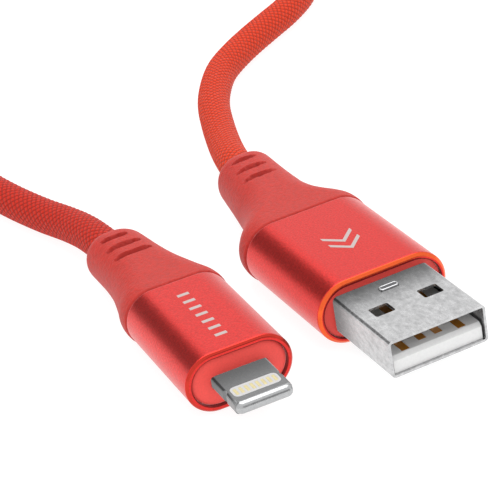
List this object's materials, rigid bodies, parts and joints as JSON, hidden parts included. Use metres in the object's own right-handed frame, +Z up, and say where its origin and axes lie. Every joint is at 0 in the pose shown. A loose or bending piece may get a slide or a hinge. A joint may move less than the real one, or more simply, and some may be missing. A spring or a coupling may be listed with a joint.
{
  "type": "charging cable",
  "caption": "Braided red charging cable with a wide steel-shelled plug at one end, a slim flat tab plug at the other, metal sleeves and flexible boots.",
  "frame": {"origin": "bottom middle of the wide plug, sleeve, boot and steel together, with its underside on z = 0", "axes": "+X the way the wide plug is pushed in, +Y across the wide plug, +Z up out of its flat upper face"},
  "size_m": [0.2019, 0.0732, 0.009],
  "materials": {
    "red_metal": "satin anodised red",
    "red_collar": "smooth matte",
    "red_rubber": "soft matte",
    "plug_steel": "bright nickel plated",
    "tab_metal": "polished",
    "white_insulator": "smooth",
    "contact_gold": "gold plated",
    "solder": "dull silver",
    "mould_plastic": "plain",
    "inner_steel": "tinned",
    "wire_red": "smooth insulation",
    "wire_black": "smooth insulation",
    "wire_white": "smooth insulation",
    "wire_green": "smooth insulation",
    "braid": "herringbone braid",
    "tie_strap": "soft matte",
    "board_green": "coated",
    "chip_black": "moulded",
    "ceramic_tan": "fired ceramic"
  },
  "bodies": {
    "root": {"wide_sleeve": "red_metal", "wide_collar": "red_collar", "wide_boot": "red_rubber", "wide_steel_shell": "plug_steel", "wide_insulator": "white_insulator", "wide_power_contacts": "contact_gold", "wide_data_contacts": "contact_gold", "wide_solder_joints": "solder", "wide_inner_mould": "mould_plastic", "wide_cord_clamp": "inner_steel", "wide_cord_end": "braid", "wide_wire_red": "wire_red", "wide_wire_black": "wire_black", "wide_wire_white": "wire_white", "wide_wire_green": "wire_green", "slim_sleeve": "red_metal", "slim_collar": "red_collar", "slim_boot": "red_rubber", "slim_tab_frame": "tab_metal", "slim_tab_insulator": "white_insulator", "slim_contacts_top": "contact_gold", "slim_contacts_bottom": "contact_gold", "slim_circuit_board": "board_green", "slim_control_chip": "chip_black", "slim_power_chip": "chip_black", "slim_capacitors": "ceramic_tan", "slim_shield_can": "inner_steel", "slim_inner_mould": "mould_plastic", "slim_solder_joints": "solder", "slim_cord_clamp": "inner_steel", "slim_cord_end": "braid", "slim_wire_red": "wire_red", "slim_wire_black": "wire_black", "slim_wire_white": "wire_white", "slim_wire_green": "wire_green", "cord_run_wide": "braid", "cord_coil": "braid", "cord_run_slim": "braid", "cord_tie": "tie_strap"}
  },
  "joints": []
}
